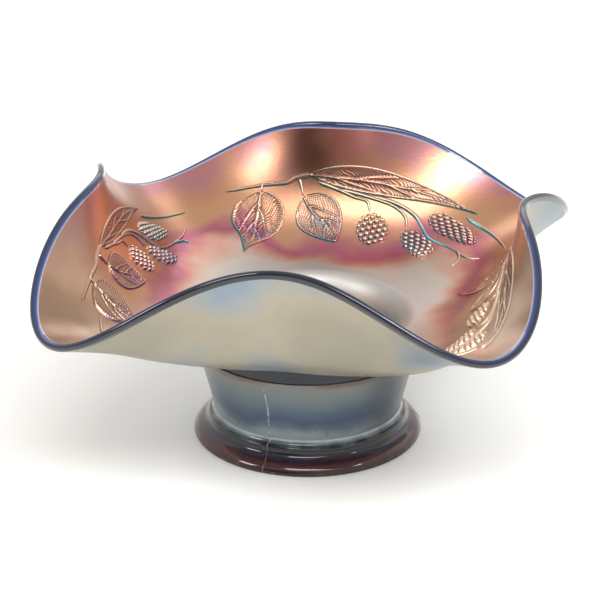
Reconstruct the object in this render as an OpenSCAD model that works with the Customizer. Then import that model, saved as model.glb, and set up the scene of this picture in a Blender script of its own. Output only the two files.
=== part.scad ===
// Footed carnival glass bowl with a four-lobed ruffled brim.
// A hollow collar stands on a spread foot. Above it the hot glass was opened out into a
// brim and crimped, so that four lobes dip outwards and four folds stand up between them.
// Four raised sprays of berries and leaves lie inside the brim.
// Origin: middle of the base, +Z up. Angles run from the front (-Y) towards the right (+X).

/* [Foot and collar] */
// Outer radius of the foot at its widest
foot_r = 34.3; // [33:0.1:36]
// Height of the foot ring
foot_h = 9; // [8.6:0.1:10]
// Radius at the waist above the foot
waist_r = 28.2; // [27.5:0.1:29]
// Radius of the crease at the top of the collar
crease_r = 34; // [33:0.1:34.5]
// Height of the crease above the base
crease_h = 29.2; // [27:0.1:30.5]
// Depth of the hollow under the foot
base_hollow = 2.5; // [1:0.5:4]

/* [Well] */
// Inner radius at the well's floor
well_r = 25; // [22:0.5:26]
// Height of the well's floor above the base
well_floor_h = 7.5; // [6:0.5:10]

/* [Brim] */
// Radius where the brim leaves the neck
brim_start_r = 33; // [32.5:0.1:34]
// Height where the brim leaves the neck
brim_start_h = 36.5; // [36:0.1:38]
// Slope of the brim where it leaves the neck, in degrees
brim_start_slope = 8; // [4:1:12]
// Glass thickness at the neck
neck_thick = 4; // [3:0.1:5]
// Glass thickness at the rim
rim_thick = 2.2; // [2:0.1:3.5]

/* [Ruffle] */
// Mean radius of the rim
rim_r = 75.9; // [70:0.1:80]
// Mean height of the rim
rim_h = 65.6; // [60:0.1:70]
// How far the lobes reach out, and the folds draw in
lobe_reach = 12.8; // [8:0.1:15]
// How far the lobes dip, and the folds rise
lobe_dip = 12; // [6:0.1:14]
// Direction of the first lobe, in degrees
lobe_turn = 35; // [0:1:90]
// Slope of the brim where it ends in a fold, in degrees
fold_slope = 90; // [60:1:90]
// Slope of the brim where it ends in a lobe, in degrees
lobe_slope = 13; // [5:1:30]

/* [Rim edge] */
// Width of the bare, fire-polished band along the rim, as a share of the brim
rim_band = 0.01; // [0.01:0.005:0.05]

/* [Sprays] */
// Height of the leaves above the glass
leaf_relief = 0.5; // [0.3:0.05:0.8]
// Height of the berries above the glass
berry_relief = 1.5; // [0.8:0.1:2]
// Height of the stems above the glass
stem_relief = 0.6; // [0.3:0.05:1]

/* [Mould seams] */
// Height of the seam lines above the glass
seam_relief = 0.25; // [0.1:0.05:0.4]
// Width of a seam line, in degrees
seam_width = 1; // [0.6:0.1:2]
// Direction of the first seam, in degrees
seam_turn = -23; // [-60:1:60]

/* [Hidden] */
$fn = 96;

lobes = 4;
around = 96;          // steps round the brim
brim_rows = 12;       // steps from the neck to the rim band
second_wave = 2.2;    // dip of the lobes' and folds' tips
// Unevenness of hand crimping: waves round the rim, millimetres, direction in degrees
uneven_r = [[1, 0.5, 114], [2, 0.5, -40], [3, 0.7, 5]];
uneven_h = [[1, 0.6, 50], [2, 1.3, 39], [3, 0.7, 27]];
// How strongly the brim's curve holds its first and last slopes: at a fold, at a lobe
start_pull = [0.07, 0.7];
end_pull = [0.7, 0.58];

// Where the crimping left each spray: direction of its middle in degrees, how far it was
// stretched round and up the brim, and how far it was lifted, in millimetres
right_place = [64, 0.8, 0.8, 12];
back_place = [165, 1, 1, 0];
left_place = [259.5, 0.88, 0.8, 9.7];
front_place = [345, 1, 1, 0];

lustre = [0.78, 0.52, 0.40];
cream = [0.76, 0.73, 0.66];
slate = [0.42, 0.47, 0.53];
cobalt = [0.10, 0.12, 0.24];
plum = [0.30, 0.20, 0.26];

// ---- Curves -------------------------------------------------------------------------

function sum(list, i = 0) = i < len(list) ? list[i] + sum(list, i + 1) : 0;

function waves(list, angle) = sum([for (w = list) w[1] * cos(w[0] * (angle - w[2]))]);

function mix(a, b, share) = a + (b - a) * share;

// Points of an arc in a profile, from one angle to another
function arc(centre, radius, from, to, steps = 8) =
    [for (i = [0 : steps]) let (a = mix(from, to, i / steps)) centre + radius * [cos(a), sin(a)]];

// Points between two ends of a curve that leaves and arrives in the direction of a third point
function bend(from, pull, to, steps = 4) =
    [for (i = [1 : steps - 1]) let (t = i / steps) mix(mix(from, pull, t), mix(pull, to, t), t)];

// 1 at the top of a fold, 0 at the tip of a lobe
function fold_share(angle) = (1 - cos(lobes * (angle - lobe_turn))) / 2;

function rim_radius(angle) =
    rim_r + lobe_reach * cos(lobes * (angle - lobe_turn)) + waves(uneven_r, angle);

function rim_height(angle) =
    rim_h - lobe_dip * cos(lobes * (angle - lobe_turn))
    - second_wave * cos(2 * lobes * (angle - lobe_turn)) + waves(uneven_h, angle);

// Radius and height of the middle of the brim's glass: u runs from 0 at the neck to 1 at the rim
function brim_profile(angle, u) =
    let (
        fold = fold_share(angle),
        start = [brim_start_r, brim_start_h],
        end = [rim_radius(angle), rim_height(angle)],
        reach = norm(end - start),
        end_slope = mix(lobe_slope, fold_slope, fold),
        first = start + reach * mix(start_pull[1], start_pull[0], fold)
            * [cos(brim_start_slope), sin(brim_start_slope)],
        last = end - reach * mix(end_pull[1], end_pull[0], fold) * [cos(end_slope), sin(end_slope)]
    )
    pow(1 - u, 3) * start + 3 * u * pow(1 - u, 2) * first + 3 * u * u * (1 - u) * last + pow(u, 3) * end;

function brim_middle(angle, u) =
    let (p = brim_profile(angle, u)) [p[0] * sin(angle), -p[0] * cos(angle), p[1]];

// Direction from the glass into the bowl
function brim_normal(angle, u) =
    let (
        step = 0.002,
        along = brim_middle(angle, u + step) - brim_middle(angle, max(0, u - step)),
        across = brim_middle(angle + 0.5, u) - brim_middle(angle - 0.5, u),
        n = cross(along, across)
    )
    n / norm(n);

function glass_thick(u) = mix(neck_thick, rim_thick, u);

// A point at a height above the brim's inner face (side 1) or outer face (side -1)
function on_brim(angle, u, side = 1, height = 0) =
    brim_middle(angle, u) + side * (glass_thick(u) / 2 + height) * brim_normal(angle, u);

// ---- Lofts --------------------------------------------------------------------------

// Joins equal closed sections into one solid: a ring, or a strip with two ends
module loft(sections, ring = false) {
    rows = len(sections);
    size = len(sections[0]);
    last = ring ? rows - 1 : rows - 2;
    sides = [
        for (i = [0 : last], j = [0 : size - 1])
            let (
                a = i * size + j,
                b = i * size + (j + 1) % size,
                c = ((i + 1) % rows) * size + (j + 1) % size,
                d = ((i + 1) % rows) * size + j
            )
            each [[a, c, b], [a, d, c]]
    ];
    ends = ring ? [] : [
        for (j = [1 : size - 2]) each [
            [0, j, j + 1],
            [(rows - 1) * size, (rows - 1) * size + j + 1, (rows - 1) * size + j]
        ]
    ];
    polyhedron([for (s = sections) each s], concat(sides, ends));
}

// A spray's own flat pattern: x in degrees from the spray's middle, y in millimetres from
// the neck towards the rim. One degree is about one millimetre half way up the brim.
pattern_h = 57;

function on_pattern(place, p, height) =
    on_brim(place[0] + place[1] * p[0], (place[3] + place[2] * p[1]) / pattern_h, 1, height);

// Point on a smooth curve through four points, between the second and the third
function through(p0, p1, p2, p3, t) =
    0.5 * (2 * p1 + (p2 - p0) * t + (2 * p0 - 5 * p1 + 4 * p2 - p3) * t * t
        + (3 * p1 - p0 - 3 * p2 + p3) * t * t * t);

function smooth_path(points, steps = 3) =
    let (last = len(points) - 1)
    [
        for (i = [0 : last - 1], s = [0 : steps - (i == last - 1 ? 0 : 1)])
            through(points[max(i - 1, 0)], points[i], points[i + 1], points[min(i + 2, last)], s / steps)
    ];

// Direction across a path, to its left
function sideways(path, i) =
    let (d = path[min(i + 1, len(path) - 1)] - path[max(i - 1, 0)])
    [-d[1], d[0]] / norm(d);

// A low strip lying on the brim, whose section is given by its half width and heights
module strip(place, path, half_widths, heights) {
    columns = len(heights[0]) - 1;
    loft([
        for (i = [0 : len(path) - 1])
            let (side = sideways(path, i))
            concat(
                [for (j = [0 : columns])
                    on_pattern(place, path[i] + side * half_widths[i] * (2 * j / columns - 1), 0)],
                [for (j = [columns : -1 : 0])
                    on_pattern(place, path[i] + side * half_widths[i] * (2 * j / columns - 1),
                        heights[i][j])]
            )
    ]);
}

// A leaf from its stalk to its tip: a raised midrib, and side veins that come and go
module leaf(place, route, half_width, steps = 4) {
    path = smooth_path(route, steps);
    last = len(path) - 1;
    strip(
        place, path,
        [for (i = [0 : last]) 0.3 + half_width * pow(sin(180 * pow(i / last, 0.8)), 0.8)],
        [for (i = [0 : last]) [for (j = [-3 : 3])
            leaf_relief * (abs(j) == 3 ? 0.5 : j == 0 ? 1.6 : (i + abs(j)) % 2 == 0 ? 1.2 : 0.7)]]
    );
}

// A berry: a dome of small beads in alternate rows
module berry(place, top, bottom, half_width) {
    rows = 11;
    columns = 6;
    path = [for (i = [0 : rows]) mix(top, bottom, i / rows)];
    strip(
        place, path,
        [for (i = [0 : rows]) 0.4 + half_width * sqrt(max(0, 1 - pow(2 * i / rows - 1, 2)))],
        [for (i = [0 : rows]) [for (j = [0 : columns])
            let (
                dome = sqrt(max(0.05, 1 - pow(1.9 * j / columns - 0.95, 2)))
                    * sqrt(max(0.05, 1 - pow(1.9 * i / rows - 0.95, 2))),
                bead = (i + j) % 2
            )
            berry_relief * dome * (0.65 + 0.35 * bead)]]
    );
}

// A stem or tendril, thinner towards its end
module stem(place, route, half_width = 0.7, end_share = 0.5) {
    path = smooth_path(route);
    last = len(path) - 1;
    strip(
        place, path,
        [for (i = [0 : last]) half_width * mix(1, end_share, i / last)],
        [for (i = [0 : last]) stem_relief * mix(1, end_share, i / last) * [0.3, 1, 0.3]]
    );
}

// ---- Sprays -------------------------------------------------------------------------

module spray_leaves(place) {
    color(lustre) {
        leaf(place, [[28, 43.8], [29, 38], [32, 28.5], [35, 19], [41, 8]], 7.6, 3);
        leaf(place, [[16, 41], [10, 33], [4, 24]], 7.9, 6);
        // A long blade that sweeps out from the knot of the spray
        leaf(place, [[14, 46.6], [0, 46], [-15, 45.7], [-32, 45.9]], 3.4, 5);
    }
}

module spray_berries(place) {
    color(lustre) {
        berry(place, [-5, 37], [-11, 24], 5);
        berry(place, [-18, 32.5], [-30.5, 12], 3.5);
        berry(place, [-22.5, 40.8], [-38.5, 27.8], 4.2);
    }
}

// Stems start just clear of the one they spring from
module spray_stems(place) {
    color(lustre) {
        // Main stem, from the knot on past the large leaf
        stem(place, [[11.5, 46], [16, 45.6], [21, 44.6], [28, 45.8], [37, 46]], 0.9);
        // Stalk of the broad leaf
        stem(place, [[15, 44.3], [15.4, 43], [16, 41.8]], 0.5);
        // Stalks of the first and second berries
        stem(place, [[8, 42.4], [0, 41], [-4, 40], [-5, 37.8]], 0.6);
        stem(place, [[-5.4, 41.5], [-12, 40.6], [-16, 37.5], [-17.6, 33.4]], 0.6);
        // Long tendril with a forked end
        stem(place, [[-17.5, 40], [-21.5, 35.5], [-24.5, 29.5], [-28, 25.8], [-38, 19.4]], 0.55, 0.8);
        stem(place, [[-39, 20], [-43, 20.4], [-46, 23.5], [-47.5, 27]], 0.5);
        stem(place, [[-39, 18.2], [-41.6, 16.4], [-44, 13]], 0.5);
        // Short tendril beyond the third berry
        stem(place, [[-32, 42.4], [-38, 40.5], [-45, 38.8], [-52, 38.8]], 0.6);
    }
}

// ---- Body of the bowl ---------------------------------------------------------------

// Outer line of the foot, from the base up: a rounded edge, a full skirt, a groove, a bead and
// a small cove
function foot_line() =
    let (
        skirt_end = [foot_r - 2.55, 3.45],
        bead = arc([waist_r + 0.7, 6.3], 0.95, -10, 70, 5),
        waist = [waist_r, foot_h]
    )
    concat(
        arc([foot_r - 0.6, 0.6], 0.6, -90, 0, 4),
        bend([foot_r, 0.6], [foot_r - 0.2, 2.4], skirt_end, 6),
        [skirt_end],
        bend(skirt_end, [waist_r + 1.35, 4.5], bead[0]),
        bead,
        bend(bead[5], [waist_r, 7.6], waist, 3),
        [waist]
    );

// Outer line of the collar, from the waist to the crease
function collar_line() =
    [for (i = [0 : 10]) let (s = i / 10)
        [mix(waist_r, crease_r - 0.5, 0.85 * s + 0.15 * s * s) + 0.5 * pow(s, 8),
            mix(foot_h, crease_h, s)]];

well_top_r = 26.5;
floor_r = 27;

// Inner radius of the well at a height
function well_wall(h) =
    mix(well_r, well_top_r, (h - well_floor_h) / (crease_h - well_floor_h));

module foot_ring() {
    color(plum) rotate_extrude() polygon(concat(
        [[floor_r, 0]],
        foot_line(),
        [[well_wall(foot_h), foot_h], [well_r, well_floor_h], [floor_r, well_floor_h]]
    ));
}

module well_floor() {
    color(cobalt) rotate_extrude() polygon([
        [0, base_hollow], [floor_r - 0.8, base_hollow], [floor_r, base_hollow - 0.8],
        [floor_r, well_floor_h], [0, well_floor_h]
    ]);
}

module collar_wall() {
    color(slate) rotate_extrude() polygon(concat(
        collar_line(),
        [[well_top_r, crease_h], [well_wall(foot_h), foot_h]]
    ));
}

// Dark neck between the crease and the brim, with the rounded lip of the well inside
module neck() {
    half = neck_thick / 2;
    slope = brim_start_slope;
    outer = [brim_start_r + half * sin(slope), brim_start_h - half * cos(slope)];
    inner = [brim_start_r - half * sin(slope), brim_start_h + half * cos(slope)];
    color(cobalt) rotate_extrude() polygon(concat(
        [[crease_r - 0.6, crease_h], [crease_r - 0.8, crease_h + 1.5], [crease_r - 0.7, crease_h + 3.5]],
        [outer, inner],
        [for (i = [1 : 8]) let (a = 90 * i / 8)
            [mix(inner[0], well_top_r, sin(a)), mix(crease_h, inner[1], cos(a))]]
    ));
}

module brim() {
    top = 1 - rim_band;
    color(cream) loft([
        for (i = [0 : around - 1])
            let (angle = 360 * i / around)
            concat(
                [for (j = [0 : brim_rows]) on_brim(angle, top * j / brim_rows, 1)],
                [for (j = [brim_rows : -1 : 0]) on_brim(angle, top * j / brim_rows, -1)]
            )
    ], ring = true);
}

// Bare glass along the rim, rounded by the fire
module rim_edge() {
    top = 1 - rim_band;
    steps = 4;
    color(cobalt) loft([
        for (i = [0 : around - 1])
            let (
                angle = 360 * i / around,
                middle = brim_middle(angle, 1),
                up = brim_normal(angle, 1),
                back = middle - brim_middle(angle, 0.99),
                out = back / norm(back)
            )
            concat(
                [on_brim(angle, top, 1)],
                [for (j = [0 : steps]) let (a = 90 - 180 * j / steps)
                    middle + rim_thick / 2 * (up * sin(a) + out * cos(a))],
                [on_brim(angle, top, -1)]
            )
    ], ring = true);
}

// Three joints of the mould, drawn as fine lines up the foot and the collar
module mould_seams() {
    line = concat(foot_line(), collar_line());
    proud = [for (i = [len(line) - 1 : -1 : 0]) line[i] + [seam_relief, 0]];
    color(cream) for (i = [0 : 2])
        rotate(seam_turn - 90 + 120 * i - seam_width / 2)
            rotate_extrude(angle = seam_width) polygon(concat(line, proud));
}

foot_ring();
well_floor();
collar_wall();
neck();
brim();
rim_edge();
mould_seams();
spray_leaves(right_place);  // right_spray_leaves
spray_berries(right_place);  // right_spray_berries
spray_stems(right_place);  // right_spray_stems
spray_leaves(back_place);  // back_spray_leaves
spray_berries(back_place);  // back_spray_berries
spray_stems(back_place);  // back_spray_stems
spray_leaves(left_place);  // left_spray_leaves
spray_berries(left_place);  // left_spray_berries
spray_stems(left_place);  // left_spray_stems
spray_leaves(front_place);  // front_spray_leaves
spray_berries(front_place);  // front_spray_berries
spray_stems(front_place);  // front_spray_stems
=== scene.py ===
import math

import bmesh
import bpy
import numpy as np
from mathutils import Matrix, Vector


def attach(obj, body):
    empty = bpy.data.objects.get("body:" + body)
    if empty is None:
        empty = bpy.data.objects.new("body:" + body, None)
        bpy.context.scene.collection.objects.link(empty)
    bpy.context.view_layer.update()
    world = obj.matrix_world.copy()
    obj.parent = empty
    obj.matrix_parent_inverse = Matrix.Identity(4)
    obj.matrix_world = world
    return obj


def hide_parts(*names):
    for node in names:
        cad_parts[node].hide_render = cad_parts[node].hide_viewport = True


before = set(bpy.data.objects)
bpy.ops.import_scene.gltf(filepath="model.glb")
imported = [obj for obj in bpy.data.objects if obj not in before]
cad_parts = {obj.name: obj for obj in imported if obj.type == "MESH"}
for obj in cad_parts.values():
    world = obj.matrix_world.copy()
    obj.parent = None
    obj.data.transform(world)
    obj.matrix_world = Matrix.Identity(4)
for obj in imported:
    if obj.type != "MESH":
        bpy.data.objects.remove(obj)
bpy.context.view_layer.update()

MM = 0.001
# Each spray's direction in degrees, its stretch round and up the brim, and its lift in
# millimetres of the flat pattern
SPRAYS = {
    "right": (64, 0.8, 0.8, 12),
    "back": (165, 1, 1, 0),
    "left": (259.5, 0.88, 0.8, 9.7),
    "front": (345, 1, 1, 0),
}


# ---- Size and shape of the bowl, in millimetres and degrees ------------------------------

LOBES = 4
LOBE_TURN = 35
RIM_R, RIM_H = 75.9, 65.6
LOBE_REACH, LOBE_DIP, SECOND_WAVE = 12.8, 12, 2.2
UNEVEN_R = ((1, 0.5, 114), (2, 0.5, -40), (3, 0.7, 5))
UNEVEN_H = ((1, 0.6, 50), (2, 1.3, 39), (3, 0.7, 27))
BRIM_START = (33, 36.5)
START_SLOPE = 8
LOBE_SLOPE, FOLD_SLOPE = 13, 90
START_PULL = (0.7, 0.07)    # at a lobe, at a fold
END_PULL = (0.58, 0.7)
NECK_THICK, RIM_THICK = 4, 2.2
BRIM_TOP = 0.99             # where the bare rim band begins
PATTERN_H = 57              # height of the sprays' flat pattern, from neck to rim
FOOT_R, FOOT_H, WAIST_R = 34.3, 9, 28.2
CREASE_R, CREASE_H = 34, 29.2
WELL_R, WELL_TOP_R, WELL_FLOOR_H = 25, 26.5, 7.5
FLOOR_R, BASE_HOLLOW = 27, 2.5
FIRST_SEAM = -23            # the other two follow at equal turns


def cos(angle):
    return np.cos(np.radians(angle))


def sin(angle):
    return np.sin(np.radians(angle))


def mix(a, b, share):
    return a + (b - a) * share


def waves(parts, angle):
    return sum(size * cos(count * (angle - turn)) for count, size, turn in parts)


def brim_profile(angle, u):
    """Radius and height of the middle of the glass: u is 0 at the neck and 1 at the rim."""
    swing = cos(LOBES * (angle - LOBE_TURN))
    fold = (1 - swing) / 2
    end_r = RIM_R + LOBE_REACH * swing + waves(UNEVEN_R, angle)
    end_h = RIM_H - LOBE_DIP * swing + waves(UNEVEN_H, angle)
    end_h = end_h - SECOND_WAVE * cos(2 * LOBES * (angle - LOBE_TURN))
    start_r, start_h = BRIM_START
    reach = np.hypot(end_r - start_r, end_h - start_h)
    slope = mix(LOBE_SLOPE, FOLD_SLOPE, fold)
    start_pull = reach * mix(*START_PULL, fold)
    end_pull = reach * mix(*END_PULL, fold)
    a, b, c, d = (1 - u) ** 3, 3 * u * (1 - u) ** 2, 3 * u * u * (1 - u), u ** 3
    radius = (a + b) * start_r + b * start_pull * cos(START_SLOPE)
    radius = radius + (c + d) * end_r - c * end_pull * cos(slope)
    height = (a + b) * start_h + b * start_pull * sin(START_SLOPE)
    height = height + (c + d) * end_h - c * end_pull * sin(slope)
    return radius, height


def brim_middle(angle, u):
    radius, height = brim_profile(angle, u)
    return np.stack([radius * sin(angle), -radius * cos(angle), height], -1)


def unit(vectors):
    return vectors / np.linalg.norm(vectors, axis=-1, keepdims=True)


def brim_frame(angle, u):
    """Directions round the brim, up the brim, and out of the glass into the bowl."""
    step = 0.002
    along = unit(brim_middle(angle, u + step) - brim_middle(angle, np.maximum(u - step, 0)))
    across = unit(brim_middle(angle + 0.5, u) - brim_middle(angle - 0.5, u))
    return across, along, unit(np.cross(along, across))


def on_brim(angle, u, side=1, height=0.0):
    """A point at a height above the brim's inner face (side 1) or outer face (side -1)."""
    thick = mix(NECK_THICK, RIM_THICK, u)
    offset = side * (thick / 2 + height)
    return brim_middle(angle, u) + np.asarray(offset)[..., None] * brim_frame(angle, u)[2]


# ---- Mesh work ---------------------------------------------------------------------------

def bent_grid(name, points, marks=None):
    """A flat grid, bent so that its corners lie at the given points and carry the marks."""
    columns, rows = points.shape[:2]
    bm = bmesh.new()
    bmesh.ops.create_grid(bm, x_segments=columns - 1, y_segments=rows - 1, size=0.5)
    mesh = bpy.data.meshes.new(name)
    bm.to_mesh(mesh)
    bm.free()
    flat = np.empty(len(mesh.vertices) * 3)
    mesh.vertices.foreach_get("co", flat)
    place = flat.reshape(-1, 3) + 0.5
    i = np.rint(place[:, 0] * (columns - 1)).astype(int)
    j = np.rint(place[:, 1] * (rows - 1)).astype(int)
    mesh.vertices.foreach_set("co", (points[i, j] * MM).ravel())
    for mark, values in (marks or {}).items():
        layer = mesh.attributes.new(mark, "FLOAT", "POINT")
        layer.data.foreach_set("value", np.ascontiguousarray(values[i, j], dtype=np.float32))
    return mesh


def solid(name, meshes, materials, choose=None, sharp=None):
    """Joins meshes into one closed piece: welded, its slits filled, faces outwards and smooth."""
    bm = bmesh.new()
    for mesh in meshes:
        bm.from_mesh(mesh)
        bpy.data.meshes.remove(mesh)
    bmesh.ops.remove_doubles(bm, verts=bm.verts, dist=1e-6)
    bmesh.ops.holes_fill(bm, edges=[edge for edge in bm.edges if edge.is_boundary], sides=0)
    bmesh.ops.recalc_face_normals(bm, faces=bm.faces)
    for face in bm.faces:
        face.smooth = True
        if choose:
            face.material_index = choose(face)
    mesh = bpy.data.meshes.new(name)
    bm.to_mesh(mesh)
    bm.free()
    if sharp:
        mesh.set_sharp_from_angle(angle=math.radians(sharp))
    for material in materials:
        mesh.materials.append(material)
    piece = bpy.data.objects.new(name, mesh)
    bpy.context.collection.objects.link(piece)
    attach(piece, "root")
    return piece


def faces_bowl(face):
    """1 for a face that looks into the bowl, 0 for the others."""
    middle = face.calc_center_median()
    outwards = Vector((middle.x, middle.y, 0)).normalized()
    return int(face.normal.dot(outwards) < 0.3 and face.normal.z > -0.5)


def lathe(name, outline, materials, sharp=40, steps=240):
    """A closed outline of radii and heights, turned once round the bowl's axis."""
    bm = bmesh.new()
    verts = [bm.verts.new((r * MM, 0, h * MM)) for r, h in outline]
    loop = list(zip(verts, verts[1:] + verts[:1]))
    edges = [bm.edges.new(pair) for pair in loop if pair[0].co.x > 1e-9 or pair[1].co.x > 1e-9]
    bmesh.ops.spin(
        bm, geom=verts + edges, cent=(0, 0, 0), axis=(0, 0, 1), dvec=(0, 0, 0),
        angle=math.tau, steps=steps, use_merge=True, use_normal_flip=False, use_duplicate=False,
    )
    mesh = bpy.data.meshes.new(name)
    bm.to_mesh(mesh)
    bm.free()
    return solid(name, [mesh], materials, faces_bowl, sharp)


# ---- Materials ---------------------------------------------------------------------------

def linear(code):
    """An sRGB hex colour as linear red, green, blue and alpha."""
    parts = [int(code[i:i + 2], 16) / 255 for i in (1, 3, 5)]
    return tuple(p / 12.92 if p <= 0.04045 else ((p + 0.055) / 1.055) ** 2.4 for p in parts) + (1,)


def add(tree, kind, inputs=None, stops=None, **settings):
    """Adds a node with its settings, its socket values or links, and a ramp's colours."""
    node = tree.nodes.new(kind)
    for name, value in settings.items():
        setattr(node, name, value)
    for socket, value in (inputs or {}).items():
        if isinstance(value, bpy.types.NodeSocket):
            tree.links.new(value, node.inputs[socket])
        else:
            node.inputs[socket].default_value = value
    if stops:
        ramp = node.color_ramp
        while len(ramp.elements) < len(stops):
            ramp.elements.new(1)
        for element, (position, colour) in zip(ramp.elements, stops):
            element.position = position
            element.color = linear(colour)
    return node


def finish_named(name):
    """A new material with only its shader and its output."""
    material = bpy.data.materials.new(name)
    material.use_nodes = True
    tree = material.node_tree
    tree.nodes.clear()
    shader = add(tree, "ShaderNodeBsdfPrincipled")
    add(tree, "ShaderNodeOutputMaterial", {"Surface": shader.outputs[0]})
    return material, tree, shader


def make_inside_lustre():
    """Metal-salt lustre sprayed on the hot glass: a satin metal film. Its thickness drifts, so
    the eye sees silver by the well, rose and magenta half way, copper above, dull rose at the
    rim."""
    material, tree, shader = finish_named("sprayed_copper_lustre")
    spot = add(tree, "ShaderNodeTexCoord").outputs["Object"]
    place = add(tree, "ShaderNodeSeparateXYZ", {0: spot})
    up = add(tree, "ShaderNodeAttribute", attribute_name="up").outputs["Fac"]
    tilt = add(tree, "ShaderNodeAttribute", attribute_name="tilt").outputs["Fac"]
    carved = add(tree, "ShaderNodeAttribute", attribute_name="carved").outputs["Fac"]
    # Drifts of the spray are about 28 mm across, and fade out towards the well
    drift = add(tree, "ShaderNodeTexNoise", {"Vector": spot, "Scale": 1 / 0.028, "Detail": 2.0})
    # Clouding inside a drift is about 12 mm across
    cloud = add(tree, "ShaderNodeTexNoise", {"Vector": spot, "Scale": 1 / 0.012, "Detail": 3.0})
    reach = add(tree, "ShaderNodeMapRange", {"Value": up, "From Max": 0.35, "To Min": 0.1,
                                             "To Max": 1.0})
    moved = add(tree, "ShaderNodeMath", {0: drift.outputs["Fac"], 1: 0.9, 2: -0.45},
                operation="MULTIPLY_ADD")
    clouded = add(tree, "ShaderNodeMath", {0: cloud.outputs["Fac"], 1: 0.36, 2: -0.18},
                  operation="MULTIPLY_ADD")
    both = add(tree, "ShaderNodeMath", {0: moved.outputs[0], 1: clouded.outputs[0]},
               operation="ADD")
    film = add(tree, "ShaderNodeMath", {0: both.outputs[0], 1: reach.outputs[0], 2: up},
               operation="MULTIPLY_ADD", use_clamp=True)
    colour = add(tree, "ShaderNodeValToRGB", {"Fac": film.outputs[0]}, stops=(
        (0.00, "#bcb9b5"), (0.10, "#c4bcb2"), (0.17, "#c7a696"), (0.25, "#c0857a"),
        (0.34, "#b0667c"), (0.43, "#b97877"), (0.54, "#c9977a"), (0.76, "#c69572"),
        (0.90, "#c08a72"), (1.00, "#b67f80")))
    # Towards the front the film is paler, cream with grey-brown smears: partly random tone in the
    # film, partly a painted reflection of the bright surroundings
    smear = add(tree, "ShaderNodeValToRGB", {"Fac": drift.outputs["Fac"]}, stops=(
        (0.36, "#957d6c"), (0.46, "#b59c86"), (0.60, "#d0bda3")))
    front = add(tree, "ShaderNodeMapRange", {"Value": place.outputs["Y"], "From Min": 0.004,
                                             "From Max": -0.03, "To Max": 0.82})
    pale = add(tree, "ShaderNodeMix", {"Factor": front.outputs[0], 6: colour.outputs[0],
                                       7: smear.outputs[0]}, data_type="RGBA")
    # A painted dark reflection: dark brown at the top of the back wall, about 1 mm right of the
    # middle
    sideways = add(tree, "ShaderNodeMath", {0: place.outputs["X"], 1: -0.001}, operation="ADD")
    sideways = add(tree, "ShaderNodeMath", {0: sideways.outputs[0]}, operation="ABSOLUTE")
    near = add(tree, "ShaderNodeMapRange", {"Value": sideways.outputs[0], "From Min": 0.013,
                                            "From Max": 0.001}, interpolation_type="SMOOTHSTEP")
    high = add(tree, "ShaderNodeMapRange", {"Value": up, "From Min": 0.70, "From Max": 0.86,
                                            "To Max": 0.85}, interpolation_type="SMOOTHSTEP")
    behind = add(tree, "ShaderNodeMath", {0: place.outputs["Y"], 1: 0.0}, operation="GREATER_THAN")
    painted_dark_reflection = add(tree, "ShaderNodeMath", {0: near.outputs[0], 1: high.outputs[0]},
                operation="MULTIPLY")
    painted_dark_reflection = add(tree, "ShaderNodeMath", {0: painted_dark_reflection.outputs[0], 1: behind.outputs[0]},
                operation="MULTIPLY")
    pale = add(tree, "ShaderNodeMix", {"Factor": painted_dark_reflection.outputs[0], 6: pale.outputs[2],
                                       7: linear("#66453a")}, data_type="RGBA")
    # Painted shade darkens the grooves at the foot of the relief, and a painted highlight brightens
    # its crests
    groove = add(tree, "ShaderNodeMapRange", {"Value": carved, "From Min": -0.08,
                                              "From Max": -0.8, "To Max": 0.8})
    dark = add(tree, "ShaderNodeMix", {"Factor": groove.outputs[0], 6: pale.outputs[2],
                                       7: linear("#4a2c38")}, data_type="RGBA")
    crest_painted_highlight = add(tree, "ShaderNodeMapRange", {"Value": carved, "From Min": 0.15,
                                             "From Max": 0.9, "To Max": 0.55})
    bright = add(tree, "ShaderNodeMix", {"Factor": crest_painted_highlight.outputs[0], 6: dark.outputs[2],
                                         7: linear("#f2d9c2")}, data_type="RGBA")
    # Painted light and shade on the slopes: slopes that lean to one side are painted teal at the
    # back and plum at the sides
    painted_slope_light = add(tree, "ShaderNodeMapRange", {"Value": tilt, "From Min": 0.16, "From Max": 0.4,
                                             "To Max": 1.0})
    back = add(tree, "ShaderNodeMapRange", {"Value": place.outputs["Y"], "From Min": 0.02,
                                            "From Max": 0.04})
    tint = add(tree, "ShaderNodeMix", {"Factor": back.outputs[0], 6: linear("#7d5878"),
                                       7: linear("#3a8a9c")}, data_type="RGBA")
    tinted = add(tree, "ShaderNodeMix", {"Factor": painted_slope_light.outputs[0], 6: bright.outputs[2],
                                         7: tint.outputs[2]}, data_type="RGBA")
    tree.links.new(tinted.outputs[2], shader.inputs["Base Color"])
    shader.inputs["Metallic"].default_value = 0.9
    # Near the well the skin is thin and dull
    dull = add(tree, "ShaderNodeMapRange", {"Value": up, "From Max": 0.3, "To Min": 0.42,
                                            "To Max": 0.24})
    rough = add(tree, "ShaderNodeMath", {0: cloud.outputs["Fac"], 1: 0.12, 2: dull.outputs[0]},
                operation="MULTIPLY_ADD")
    tree.links.new(rough.outputs[0], shader.inputs["Roughness"])
    # Faint ripples from the mould, about 1.2 mm apart
    ripple = add(tree, "ShaderNodeTexNoise", {"Vector": spot, "Scale": 1 / 0.0012, "Detail": 2.0})
    bump = add(tree, "ShaderNodeBump", {"Height": ripple.outputs["Fac"], "Strength": 0.5,
                                        "Distance": 0.00005})
    tree.links.new(bump.outputs[0], shader.inputs["Normal"])
    return material


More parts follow.
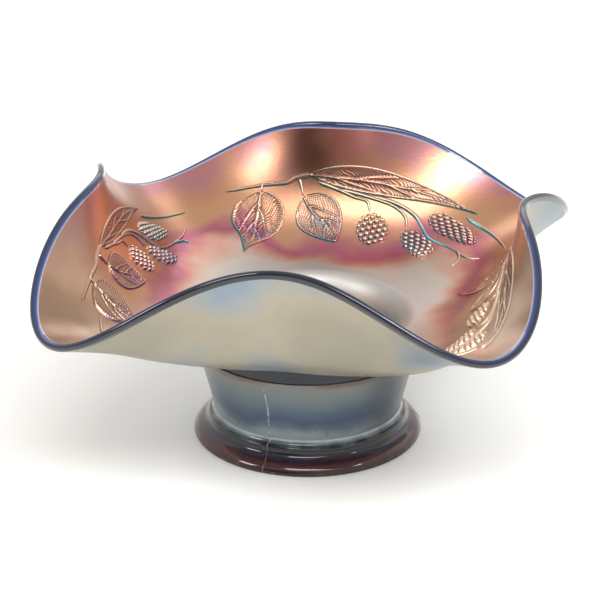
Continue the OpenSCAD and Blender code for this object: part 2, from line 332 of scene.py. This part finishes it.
def make_outside_lustre():
    """Thin overspray on the outside: a soft pearly skin, cream with pale blue-grey clouds."""
    material, tree, shader = finish_named("pearly_outside_lustre")
    spot = add(tree, "ShaderNodeTexCoord").outputs["Object"]
    drift = add(tree, "ShaderNodeTexNoise", {"Vector": spot, "Scale": 1 / 0.036, "Detail": 1.0})
    grain = add(tree, "ShaderNodeTexNoise", {"Vector": spot, "Scale": 1 / 0.004, "Detail": 3.0})
    film = add(tree, "ShaderNodeMath", {0: grain.outputs["Fac"], 1: 0.08,
                                        2: drift.outputs["Fac"]}, operation="MULTIPLY_ADD")
    colour = add(tree, "ShaderNodeValToRGB", {"Fac": film.outputs[0]}, stops=(
        (0.36, "#7d90a0"), (0.47, "#929b9f"), (0.57, "#a7a08f"), (0.70, "#9b9686")))
    tree.links.new(colour.outputs[0], shader.inputs["Base Color"])
    shader.inputs["Metallic"].default_value = 0.6
    shader.inputs["Roughness"].default_value = 0.36
    return material


def make_cobalt():
    """Bare cobalt glass, melted smooth by the fire: nearly black blue with sharp highlights,
    and a pale edge where the lustre ends."""
    material, tree, shader = finish_named("fire_polished_cobalt_glass")
    band = add(tree, "ShaderNodeAttribute", attribute_name="band").outputs["Fac"]
    # The blue on the inner face, fading over the lip, is painted light: bright light seen through
    # the cobalt glass and reflected on it
    colour = add(tree, "ShaderNodeValToRGB", {"Fac": band}, stops=(
        (0.00, "#a9788f"), (0.06, "#a9adbf"), (0.13, "#536a98"), (0.25, "#22376a"),
        (0.42, "#121c3c"), (0.60, "#0a0f22"), (0.85, "#090c1a"), (1.00, "#34383f")))
    tree.links.new(colour.outputs[0], shader.inputs["Base Color"])
    shader.inputs["Roughness"].default_value = 0.07
    shader.inputs["IOR"].default_value = 1.52
    shader.inputs["Coat Weight"].default_value = 0.6
    return material


def add_specks(tree, spot, colour, tint, low, high, amount):
    """Scatters small burnt specks, about 1 mm across, between two heights in metres."""
    height = add(tree, "ShaderNodeSeparateXYZ", {0: spot}).outputs["Z"]
    fine = add(tree, "ShaderNodeTexNoise", {"Vector": spot, "Scale": 1 / 0.0011, "Detail": 2.0})
    group = add(tree, "ShaderNodeTexNoise", {"Vector": spot, "Scale": 1 / 0.009, "Detail": 1.0})
    where = add(tree, "ShaderNodeMapRange", {"Value": height, "From Min": high, "From Max": low})
    total = add(tree, "ShaderNodeMath", {0: group.outputs["Fac"], 1: 0.6,
                                         2: fine.outputs["Fac"]}, operation="MULTIPLY_ADD")
    spots = add(tree, "ShaderNodeMapRange", {"Value": total.outputs[0], "From Min": 0.96,
                                             "From Max": 1.03, "To Max": amount})
    share = add(tree, "ShaderNodeMath", {0: spots.outputs[0], 1: where.outputs[0]},
                operation="MULTIPLY")
    return add(tree, "ShaderNodeMix", {"Factor": share.outputs[0], 6: colour,
                                       7: linear(tint)}, data_type="RGBA").outputs[2]


def film_by_height(tree, spot, start, end, cloud_size, detail, blur):
    """A film that goes from 0 to 1 between two heights, blurred by clouds. Sizes are in metres."""
    height = add(tree, "ShaderNodeSeparateXYZ", {0: spot}).outputs["Z"]
    cloud = add(tree, "ShaderNodeTexNoise", {"Vector": spot, "Scale": 1 / cloud_size,
                                             "Detail": detail})
    level = add(tree, "ShaderNodeMapRange", {"Value": height, "From Min": start, "From Max": end})
    shift = add(tree, "ShaderNodeMath", {0: cloud.outputs["Fac"], 1: blur, 2: -blur / 2},
                operation="MULTIPLY_ADD")
    return add(tree, "ShaderNodeMath", {0: level.outputs[0], 1: shift.outputs[0]},
               operation="ADD", use_clamp=True).outputs[0]


def make_collar_lustre():
    """Thin lustre over dark glass: olive by the crease, slate blue at the waist, satin, with
    painted shade on its right side.
    """
    material, tree, shader = finish_named("slate_collar_lustre")
    spot = add(tree, "ShaderNodeTexCoord").outputs["Object"]
    film = film_by_height(tree, spot, FOOT_H * MM, CREASE_H * MM, 0.014, 3.0, 0.36)
    # Pale at the bottom by the cove: partly the film's colour, partly a painted reflection of the
    # bright surroundings
    colour = add(tree, "ShaderNodeValToRGB", {"Fac": film}, stops=(
        (0.00, "#949ea2"), (0.10, "#87929a"), (0.20, "#5c6d7e"), (0.32, "#44546b"),
        (0.48, "#506377"), (0.70, "#6d7a7c"), (0.93, "#7d807c"), (1.00, "#6e5d54")))
    # Painted shade on the right side: darker slate, standing in for the darker surroundings it
    # reflects
    side = add(tree, "ShaderNodeSeparateXYZ", {0: spot}).outputs["X"]
    right_painted_shade = add(tree, "ShaderNodeMapRange", {"Value": side, "From Min": 0.012, "From Max": 0.025,
                                              "To Max": 0.8}, interpolation_type="SMOOTHSTEP")
    colour = add(tree, "ShaderNodeMix", {"Factor": right_painted_shade.outputs[0], 6: colour.outputs[0],
                                         7: linear("#2b3036")}, data_type="RGBA")
    base = add_specks(tree, spot, colour.outputs[2], "#6b4a34", 0.009, 0.02, 0.6)
    tree.links.new(base, shader.inputs["Base Color"])
    shader.inputs["Metallic"].default_value = 0.5
    shader.inputs["Roughness"].default_value = 0.3
    shader.inputs["Coat Weight"].default_value = 0.3
    return material


def make_foot_lustre():
    """Dark glass under a thin glossy lustre in bands, partly painted reflection: pale cove, black
    bead, maroon skirt.
    """
    material, tree, shader = finish_named("plum_foot_lustre")
    spot = add(tree, "ShaderNodeTexCoord").outputs["Object"]
    film = film_by_height(tree, spot, 0.0, FOOT_H * MM, 0.007, 4.0, 0.34)
    # The pale cove is partly a painted bright reflection, and the black band on the bead partly a
    # painted dark reflection, over the film's own bands
    colour = add(tree, "ShaderNodeValToRGB", {"Fac": film}, stops=(
        (0.00, "#0e0807"), (0.12, "#24100f"), (0.26, "#4a2022"), (0.37, "#3c1c24"),
        (0.47, "#1c1f3a"), (0.57, "#0a0c12"), (0.76, "#0e1218"), (0.87, "#6c787e"),
        (0.96, "#949ea2")))
    base = add_specks(tree, spot, colour.outputs[0], "#8a4f30", 0.0005, 0.004, 0.7)
    tree.links.new(base, shader.inputs["Base Color"])
    shader.inputs["Metallic"].default_value = 0.3
    shader.inputs["Roughness"].default_value = 0.09
    shader.inputs["Coat Weight"].default_value = 0.8
    return material


def make_dark_glass():
    """Thick cobalt glass: dark blue with a soft gloss, under the brim by the crease and under the
    base.
    """
    material, tree, shader = finish_named("pressed_cobalt_glass")
    spot = add(tree, "ShaderNodeTexCoord").outputs["Object"]
    drift = add(tree, "ShaderNodeTexNoise", {"Vector": spot, "Scale": 1 / 0.01, "Detail": 2.0})
    colour = add(tree, "ShaderNodeValToRGB", {"Fac": drift.outputs["Fac"]}, stops=(
        (0.35, "#0b0e1c"), (0.65, "#141a30")))
    tree.links.new(colour.outputs[0], shader.inputs["Base Color"])
    shader.inputs["Roughness"].default_value = 0.15
    shader.inputs["IOR"].default_value = 1.52
    return material


def make_seam_glass():
    """The raised line where the mould closed: sharp, worn pale on the collar, rusty on the foot."""
    material, tree, shader = finish_named("pale_mould_line")
    spot = add(tree, "ShaderNodeTexCoord").outputs["Object"]
    wear = add(tree, "ShaderNodeTexNoise", {"Vector": spot, "Scale": 1 / 0.002, "Detail": 2.0})
    colour = add(tree, "ShaderNodeValToRGB", {"Fac": wear.outputs["Fac"]}, stops=(
        (0.40, "#6b7680"), (0.60, "#b4b8ba")))
    height = add(tree, "ShaderNodeSeparateXYZ", {0: spot}).outputs["Z"]
    low = add(tree, "ShaderNodeMapRange", {"Value": height, "From Min": 0.009, "From Max": 0.006,
                                           "To Max": 0.8})
    rusty = add(tree, "ShaderNodeMix", {"Factor": low.outputs[0], 6: colour.outputs[0],
                                        7: linear("#55342e")}, data_type="RGBA")
    tree.links.new(rusty.outputs[2], shader.inputs["Base Color"])
    shader.inputs["Metallic"].default_value = 0.3
    shader.inputs["Roughness"].default_value = 0.3
    return material


INSIDE = make_inside_lustre()
OUTSIDE = make_outside_lustre()
COBALT = make_cobalt()
COLLAR = make_collar_lustre()
FOOT = make_foot_lustre()
DARK = make_dark_glass()
SEAM = make_seam_glass()


# ---- Brim and rim ------------------------------------------------------------------------

AROUND = 480    # steps round the brim


def make_brim():
    """The ruffled wall, as one closed ring: up the inside, over the top, down the outside."""
    rows = 72
    inner = np.linspace(0, BRIM_TOP, rows + 1)
    u = np.concatenate([inner, inner[::-1], [0]])
    side = np.concatenate([np.ones(rows + 1), -np.ones(rows + 1), [1]])
    angle, u = np.meshgrid(np.linspace(0, 360, AROUND + 1), u, indexing="ij")
    side = np.broadcast_to(side, u.shape)
    mesh = bent_grid("brim", on_brim(angle, u, side), {"up": u, "inside": side, "tilt": 0 * u})
    piece = solid("brim", [mesh], [INSIDE, OUTSIDE], sharp=60)
    # Faces that reach the outer side have the outside finish
    marks = piece.data.attributes["inside"].data
    for face in piece.data.polygons:
        if min(marks[v].value for v in face.vertices) < 0:
            face.material_index = 1
    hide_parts("brim")


def make_rim():
    """Bare band and rounded lip of the rim. The mark "band" runs round its section from the
    inner face, 0, to the outer face, 1."""
    lip_steps, band_steps = 16, 5
    angle = np.linspace(0, 360, AROUND + 1)
    one = np.ones_like(angle)
    _, along, out = brim_frame(angle, one)
    middle = brim_middle(angle, one)
    rows, band = [], []
    for k in range(band_steps):
        rows.append(on_brim(angle, one * mix(BRIM_TOP, 1, k / band_steps), 1))
        band.append(0.25 * k / band_steps)
    for k in range(lip_steps + 1):
        a = 90 - 180 * k / lip_steps
        rows.append(middle + RIM_THICK / 2 * (out * sin(a) + along * cos(a)))
        band.append(0.25 + 0.5 * k / lip_steps)
    for k in range(1, band_steps + 1):
        rows.append(on_brim(angle, one * mix(1, BRIM_TOP, k / band_steps), -1))
        band.append(0.75 + 0.25 * k / band_steps)
    rows.append(rows[0])
    band.append(0)
    points = np.stack(rows, 1)
    marks = {"band": np.broadcast_to(np.array(band), points.shape[:2])}
    piece = solid("rim_edge", [bent_grid("rim_edge", points, marks)], [COBALT], sharp=60)
    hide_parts("rim_edge")


# ---- Sprays ------------------------------------------------------------------------------

SINK = 0.25     # how far a raised shape reaches into the glass under it


def smooth_path(route, count):
    """A smooth curve through the route's points."""
    route = np.array(route, float)
    ends = np.concatenate([[2 * route[0] - route[1]], route, [2 * route[-1] - route[-2]]])
    at = np.linspace(0, len(route) - 1, count)
    k = np.minimum(at.astype(int), len(route) - 2)
    t = (at - k)[:, None]
    a, b, c, d = (ends[k + n] for n in range(4))
    return 0.5 * (2 * b + (c - a) * t + (2 * a - 5 * b + 4 * c - d) * t * t
                  + (3 * b - a - 3 * c + d) * t ** 3)


def on_pattern(place, flat):
    """Angle and u of points in a spray's own flat pattern of degrees and millimetres."""
    turn, wide, tall, lift = place
    u = np.clip((lift + tall * flat[..., 1]) / PATTERN_H, 0.01, 0.985)
    return turn + wide * flat[..., 0], u


def relief(name, place, route, half_width, shape, cell=0.2, painted_slope_light=1.0, shade=0.0,
           true_width=False):
    """A raised shape on the brim. shape(along, across, share, side, length, half) gives heights.
    painted_slope_light strengthens the painted light and shade tinted on its slopes, and shade
    darkens the film all over it."""
    length = np.linalg.norm(np.diff(np.array(route, float), axis=0), axis=1).sum()
    count = int(length / cell) + 2
    path = smooth_path(route, count)
    share = np.linspace(0, 1, count)
    half = half_width(share)
    step = np.gradient(path, axis=0)
    if true_width:
        # Millimetres of glass to one pattern degree round, and to one pattern millimetre up
        angle, u = on_pattern(place, path)
        turn, lift = place[1] / 2, place[2] / 2 / PATTERN_H
        round_step = brim_middle(angle + turn, u) - brim_middle(angle - turn, u)
        up_step = brim_middle(angle, u + lift) - brim_middle(angle, u - lift)
        stretch = np.stack([np.linalg.norm(round_step, axis=-1),
                            np.linalg.norm(up_step, axis=-1)], -1)
        real = step * stretch
        normal = np.stack([-real[:, 1], real[:, 0]], -1) / np.linalg.norm(real, axis=1)[:, None]
        normal = normal / stretch
    else:
        normal = np.stack([-step[:, 1], step[:, 0]], -1) / np.linalg.norm(step, axis=1)[:, None]
    columns = max(8, int(2 * half.max() / cell))
    side = np.linspace(-1, 1, columns + 1)
    flat = path[:, None] + normal[:, None] * (half[:, None] * side)[..., None]
    angle, u = on_pattern(place, flat)
    ground = on_brim(angle, u, 1)
    along = np.concatenate([[0], np.cumsum(
        np.linalg.norm(np.diff(ground[:, columns // 2], axis=0), axis=-1))])
    across = np.concatenate([np.zeros((count, 1)), np.cumsum(
        np.linalg.norm(np.diff(ground, axis=1), axis=-1), axis=1)], axis=1)
    across = across - across[:, columns // 2:columns // 2 + 1]
    real_half = (across[:, -1:] - across[:, :1]) / 2
    height = shape(along[:, None] + 0 * across, across, share[:, None], side[None, :],
                   along[-1], real_half)
    edge = np.minimum(1, np.minimum(share, 1 - share)[:, None] * along[-1] / 0.5)
    height = (height + SINK) * edge * (1 - np.abs(side[None, :]) ** 24) - SINK
    top = on_brim(angle, u, 1, height)
    # The underside, hidden in the glass, is only three strips wide
    low = columns - np.array([0, columns // 3, 2 * columns // 3, columns])
    deep = SINK + 0.3 * edge * np.array([0, 1, 1, 0])[None, :]
    under = on_brim(angle[:, low], u[:, low], 1, -deep)
    points = np.concatenate([top, under], axis=1)
    tilt = painted_slope_light * lean(top, angle, u)
    # carved: how far a spot stands above its blurred surroundings; the lustre shows it as painted
    # shade below and painted highlight above, and shade lowers it all over
    carved = np.clip((height - blurred(height, 4)) / 0.22 - shade, -painted_slope_light ** 3, 1)
    marks = {
        "up": np.concatenate([u, u[:, low]], axis=1),
        "tilt": np.concatenate([tilt, 0 * tilt[:, low]], axis=1),
        "carved": np.concatenate([carved, 0 * carved[:, low]], axis=1),
    }
    return bent_grid(name, points, marks)


def blurred(field, reach):
    """The field averaged over a square of cells, with its border repeated outwards."""
    for axis in (0, 1):
        pads = [(reach, reach) if axis == k else (0, 0) for k in (0, 1)]
        wide = np.pad(field, pads, mode="edge")
        count = field.shape[axis]
        field = sum(np.take(wide, range(k, k + count), axis) for k in range(2 * reach + 1))
        field = field / (2 * reach + 1)
    return field


def lean(top, angle, u):
    """How far each spot leans towards the well and the left of its spray, from -1 to 1."""
    normal = np.cross(np.gradient(top, axis=0), np.gradient(top, axis=1))
    size = np.linalg.norm(normal, axis=-1, keepdims=True)
    normal = normal / np.maximum(size, 1e-9)
    across, along, out = brim_frame(angle, u)
    normal = normal * np.sign((normal * out).sum(-1))[..., None]
    return (normal * (0.75 * across - 0.65 * along)).sum(-1)


def smoothstep(a, b, x):
    t = np.clip((x - a) / (b - a), 0, 1)
    return t * t * (3 - 2 * t)


def oval_width(half):
    return lambda share: 0.02 + half * np.sin(np.pi * share ** 0.8) ** 0.8


def drop_width(half):
    return lambda share: 0.02 + half * np.maximum(0, np.sin(np.pi * share ** 0.65)) ** 1.2


def stipple(along, across):
    """Fine irregular tool marks, from about -1 to 1, about 0.9 mm apart."""
    drift = 0.9 * np.sin(along * 0.83 + across * 0.51) + 0.7 * np.sin(across * 1.17 - along * 0.37)
    fine = np.sin(along * 6.9 + 2 * drift) * np.sin(across * 5.3 + along * 2.1 - 1.5 * drift)
    return 0.6 * fine + 0.4 * np.sin(along * 4.1 - across * 7.7 + 2.4 * drift)


def leaf_shape(veins, sweep=38, plate=0.6, rib=0.42, hatch=0.1, bend=0.7):
    """A raised plate with a crisp edge, a wandering midrib, a few curved side veins, a finely
    hatched border on its upper side and a stippled field."""
    def shape(along, across, share, side, length, half):
        inset = half - np.abs(across)
        bevel = np.where(side > 0, 1.0, 0.4)
        height = plate * smoothstep(0, bevel, inset) - 0.24 * smoothstep(bevel, bevel + 0.6, inset)
        off_rib = across - bend * np.sin(math.tau * share) * np.minimum(1, half / 3)
        height = height + rib * np.exp(-(off_rib / 0.34) ** 2) * (1 - 0.5 * share)
        slant = 1 / math.tan(math.radians(sweep))
        for place, hand in veins:
            reach = np.maximum(off_rib * hand, 0)
            line = place * length + reach * slant - 0.9 * np.sin(reach * 0.9) + reach ** 2 * 0.06
            off = (along - line) * math.sin(math.radians(sweep))
            ridge = np.exp(-(off / 0.26) ** 2) * smoothstep(0.5, 2.0, inset)
            height = height + 0.8 * rib * ridge * (off_rib * hand > 0)
        teeth = np.sin(along * math.tau / 0.62 - across * 1.6)
        border = smoothstep(-0.55, -0.75, side) * smoothstep(0.1, 0.4, inset)
        height = height + hatch * teeth * border
        return height + 0.11 * stipple(along, across) * smoothstep(0.3, 0.9, inset)
    return shape


def berry_width(half):
    return lambda share: 0.02 + half * np.sqrt(np.maximum(0, 1 - (2 * share - 1) ** 2))


def berry_shape(along, across, share, side, length, half):
    """Small round beads in staggered rows, with the brim's own glass between them."""
    gap, row = 2.0, 1.75
    inset = np.minimum(half - np.abs(across), np.minimum(along, length - along) * 0.8 + 0.1)
    best = np.full(along.shape, 9.0)
    first = np.rint(along / row)
    for k in (-1, 0, 1):
        line = first + k
        shift = np.where(line % 2 == 0, 0, gap / 2)
        column = np.rint((across - shift) / gap) * gap + shift
        best = np.minimum(best, np.hypot(along - line * row, across - column))
    bead = np.sqrt(np.maximum(0, 1 - (best / 0.9) ** 2))
    mound = 0.25 * smoothstep(0.3, 2.5, inset)
    return (mound + 0.9 * bead) * smoothstep(0.0, 0.5, inset) * np.minimum(1, bead * 4) - 0.03


def soft_ridge(size):
    """A low ridge with soft flanks, lower towards its end."""
    def shape(along, across, share, side, length, half):
        return size * (1 - side ** 2) ** 1.3 * mix(1, 0.6, share)
    return shape


def stem_width(half, end=0.5):
    return lambda share: (half * mix(1, end, share)
                          * np.minimum(1, np.minimum(share, 1 - share) * 14 + 0.02))


# Side veins: where each leaves the midrib, as a share of the leaf, and to which side
DROP_VEINS = ((0.16, 1), (0.24, -1), (0.42, 1), (0.52, -1))
OVAL_VEINS = ((0.20, -1), (0.34, 1), (0.50, -1), (0.64, 1))
BLADE_VEINS = ((0.14, 1), (0.26, -1), (0.44, 1), (0.56, -1))
# Routes in the flat pattern, with widths
LEAVES = (
    (((28, 43.8), (29, 38), (32, 28.5), (35, 19), (41, 8)), drop_width(7.9),
     leaf_shape(DROP_VEINS, 30)),
    (((16, 41), (10, 33), (4, 24)), oval_width(8.2), leaf_shape(OVAL_VEINS)),
    (((14, 46.6), (0, 46), (-15, 45.7), (-32, 45.9)), oval_width(3.6),
     leaf_shape(BLADE_VEINS, 12, plate=0.5, rib=0.34, hatch=0, bend=0.3)),
)
BERRIES = (
    (((-5, 37), (-11, 24)), berry_width(5.4)),
    (((-18, 32.5), (-30.5, 12)), berry_width(3.9)),
    (((-22.5, 40.8), (-38.5, 27.8)), berry_width(4.6)),
)
STEMS = (
    (((13, 46.8), (18, 46.2), (21, 45.2), (28, 45.4), (37, 45.8)), 1.25),
    (((17, 46), (16.4, 43.4), (16, 41.2)), 0.75),
    (((24, 45.6), (27, 45.6), (28, 43.6)), 0.75),
    (((12, 45), (5, 42.8), (0, 41.2), (-4, 40.4), (-5.5, 37.4)), 0.95),
    (((6, 43), (-4, 41.8), (-12, 40.4), (-16.2, 37.5), (-17.8, 33)), 0.9),
    (((-3, 42.2), (-12, 41.4), (-18, 39), (-21.5, 35), (-25, 29), (-29, 24.6), (-35, 20.6),
      (-39, 19.2)), 0.95),
    (((-37, 19.6), (-41, 18.8), (-44.5, 20.2), (-47.5, 24.5)), 0.75),
    (((-37.5, 19.8), (-41, 17), (-43, 15), (-43.6, 12.4)), 0.75),
    (((-30, 43), (-38, 40.5), (-45, 38.8), (-52, 38.8)), 0.95),
)


def make_spray(side, place):
    """Leaves, berries and stems of one spray, raised on the inside of the brim."""
    parts = {
        "leaves": [relief("leaf", place, route, width, shape, shade=0.32)
                   for route, width, shape in LEAVES],
        "berries": [relief("berry", place, route, width, berry_shape, cell=0.16, painted_slope_light=0.55)
                    for route, width in BERRIES],
        "stems": [relief("stem", place, route, stem_width(half), soft_ridge(0.62), cell=0.16,
                         true_width=True)
                  for route, half in STEMS],
    }
    for kind, meshes in parts.items():
        piece = solid(f"{side}_spray_{kind}", meshes, [INSIDE])
        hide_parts(f"{side}_spray_{kind}")


# ---- Foot, collar, neck and well ---------------------------------------------------------

def arc(centre, radius, start, end, steps=12):
    return [(centre[0] + radius * cos(a), centre[1] + radius * sin(a))
            for a in np.linspace(start, end, steps + 1)]


def bend(start, pull, end, steps=10):
    """A curve that leaves its start towards a third point, and arrives at its end from it."""
    start, pull, end = np.array(start), np.array(pull), np.array(end)
    return [tuple(mix(mix(start, pull, t), mix(pull, end, t), t))
            for t in np.linspace(0, 1, steps + 1)[1:]]


def foot_line():
    """Outer line of the foot: rounded edge, full skirt, groove, bead, small cove."""
    edge = arc((FOOT_R - 0.6, 0.6), 0.6, -90, 0)
    skirt = bend((FOOT_R, 0.6), (FOOT_R - 0.2, 2.4), (FOOT_R - 2.55, 3.45), 16)
    bead = arc((WAIST_R + 0.7, 6.3), 0.95, -10, 70)
    groove = bend(skirt[-1], (WAIST_R + 1.35, 4.5), bead[0], 12)
    cove = bend(bead[-1], (WAIST_R, 7.6), (WAIST_R, FOOT_H))
    return edge + skirt + groove + bead[1:] + cove


def collar_line():
    """Outer line of the collar: a trumpet that ends in a crisp crease."""
    return [(mix(WAIST_R, CREASE_R - 0.5, 0.85 * s + 0.15 * s * s) + 0.5 * s ** 8,
             mix(FOOT_H, CREASE_H, s)) for s in np.linspace(0, 1, 25)]


def well_wall(height):
    """Inner radius of the well at a height."""
    return mix(WELL_R, WELL_TOP_R, (height - WELL_FLOOR_H) / (CREASE_H - WELL_FLOOR_H))


def make_base():
    """Foot, collar, well floor and neck, all turned round the axis."""
    foot = lathe("foot_ring", [(FLOOR_R, 0)] + foot_line() + [
        (well_wall(FOOT_H), FOOT_H), (WELL_R, WELL_FLOOR_H), (FLOOR_R, WELL_FLOOR_H),
    ], [FOOT, INSIDE])
    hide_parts("foot_ring")
    collar = lathe("collar_wall", collar_line() + [
        (WELL_TOP_R, CREASE_H), (well_wall(FOOT_H), FOOT_H)], [COLLAR, INSIDE])
    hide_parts("collar_wall")
    floor = lathe("well_floor", [(0, BASE_HOLLOW), (FLOOR_R - 0.8, BASE_HOLLOW),
                                 (FLOOR_R, BASE_HOLLOW - 0.8), (FLOOR_R, WELL_FLOOR_H),
                                 (0, WELL_FLOOR_H)], [DARK, INSIDE])
    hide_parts("well_floor")
    half = NECK_THICK / 2
    r, h = BRIM_START
    outer = (r + half * sin(START_SLOPE), h - half * cos(START_SLOPE))
    inner = (r - half * sin(START_SLOPE), h + half * cos(START_SLOPE))
    lip = [(mix(inner[0], WELL_TOP_R, sin(a)), mix(CREASE_H, inner[1], cos(a)))
           for a in np.linspace(3, 90, 24)]
    neck = lathe("neck", [(CREASE_R - 0.6, CREASE_H), (CREASE_R - 0.8, CREASE_H + 1.5),
                          (CREASE_R - 0.7, CREASE_H + 3.5), outer, inner] + lip, [DARK, INSIDE])
    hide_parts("neck")


def make_seams():
    """Three mould seams: thin wavering ridges up the foot and the collar."""
    line = np.array(foot_line()[4:] + collar_line()[1:-1])
    share = np.linspace(0, 1, len(line))
    # Round a seam's section: place across it, and height above the glass in millimetres
    section = ((-1, -0.1), (-0.6, -0.012), (0, 0.12), (0.6, -0.012), (1, -0.1), (0, -0.3),
               (-1, -0.1))
    meshes = []
    for k in range(3):
        wander = 0.5 * np.sin(share * 9 + k) + 0.25 * np.sin(share * 31 + 2 * k)
        width = 0.65 + 0.25 * np.sin(share * 47 + k)
        width = width * np.minimum(1, np.minimum(share, 1 - share) * 20 + 0.01)
        rows = []
        for place, proud in section:
            radius = line[:, 0] + proud * np.minimum(1, width / 0.1)
            angle = FIRST_SEAM + 120 * k + wander + place * width
            rows.append(np.stack([radius * sin(angle), -radius * cos(angle), line[:, 1]], -1))
        meshes.append(bent_grid("seam", np.stack(rows, 1)))
    piece = solid("mould_seams", meshes, [SEAM])
    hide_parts("mould_seams")


# ---- Studio ------------------------------------------------------------------------------

CAMERA_AIM = (-0.00227, 0, 0.0415)
CAMERA_RISE = 22.81         # degrees above the horizon
CAMERA_DISTANCE = 0.7008
LENS, SENSOR = 141.7, 36


def make_camera():
    camera = bpy.data.objects.new("camera", bpy.data.cameras.new("camera"))
    bpy.context.collection.objects.link(camera)
    rise = math.radians(CAMERA_RISE)
    back = Vector((0, -math.cos(rise), math.sin(rise)))
    camera.location = Vector(CAMERA_AIM) + back * CAMERA_DISTANCE
    camera.rotation_euler = (-back).to_track_quat("-Z", "Y").to_euler()
    camera.data.sensor_width = SENSOR
    camera.data.lens = LENS
    camera.data.clip_start = 0.01
    bpy.context.scene.camera = camera


def make_floor():
    bm = bmesh.new()
    bmesh.ops.create_grid(bm, x_segments=1, y_segments=1, size=3)
    mesh = bpy.data.meshes.new("floor")
    bm.to_mesh(mesh)
    bm.free()
    material, _, shader = finish_named("pale_paper_floor")
    shader.inputs["Base Color"].default_value = linear("#fbfaf8")
    shader.inputs["Roughness"].default_value = 0.8
    mesh.materials.append(material)
    floor = bpy.data.objects.new("floor", mesh)
    bpy.context.collection.objects.link(floor)


def make_softbox(name, azimuth, elevation, distance, width, height, brightness):
    """A soft panel aimed at the bowl: azimuth 0 is the front, 90 the right. Sizes and distance
    are in metres, and brightness is what the panel shows in a mirror."""
    data = bpy.data.lights.new(name, "AREA")
    data.shape = "RECTANGLE"
    data.size, data.size_y = width, height
    data.energy = brightness * math.pi * width * height
    light = bpy.data.objects.new(name, data)
    bpy.context.collection.objects.link(light)
    a, e = math.radians(azimuth), math.radians(elevation)
    back = Vector((math.sin(a) * math.cos(e), -math.cos(a) * math.cos(e), math.sin(e)))
    light.location = back * distance + Vector((0, 0, 0.04))
    light.rotation_euler = (-back).to_track_quat("-Z", "Y").to_euler()


def make_world():
    world = bpy.data.worlds.new("studio")
    world.use_nodes = True
    tree = world.node_tree
    tree.nodes.clear()
    look = add(tree, "ShaderNodeTexCoord").outputs["Generated"]
    # The dark side of the studio, low in front of the bowl and a little to the left
    gap = add(tree, "ShaderNodeVectorMath", {0: look, 1: (-0.46, -0.88, 0.08)},
              operation="DOT_PRODUCT").outputs["Value"]
    shade = add(tree, "ShaderNodeValToRGB", {"Fac": gap}, stops=(
        (0.0, "#d2d0cd"), (0.80, "#cccac7"), (0.93, "#8d8b89"), (1.0, "#666463")))
    background = add(tree, "ShaderNodeBackground", {"Color": shade.outputs[0], "Strength": 1.12})
    add(tree, "ShaderNodeOutputWorld", {"Surface": background.outputs[0]})
    bpy.context.scene.world = world


def make_studio():
    make_camera()
    make_floor()
    make_world()
    make_softbox("front_softbox", 4, 56, 1.0, 0.7, 0.4, 5)
    make_softbox("right_softbox", 50, 50, 1.0, 0.36, 0.36, 10)
    make_softbox("left_softbox", -66, 36, 1.0, 0.26, 0.4, 8)
    make_softbox("back_right_fill", 125, 30, 1.2, 0.8, 0.5, 0.3)
    make_softbox("back_fill", 185, 36, 1.2, 1.0, 0.6, 1.0)
    bpy.context.scene.view_settings.view_transform = "Standard"


make_studio()
make_brim()
make_rim()
for side, place in SPRAYS.items():
    make_spray(side, place)
make_base()
make_seams()
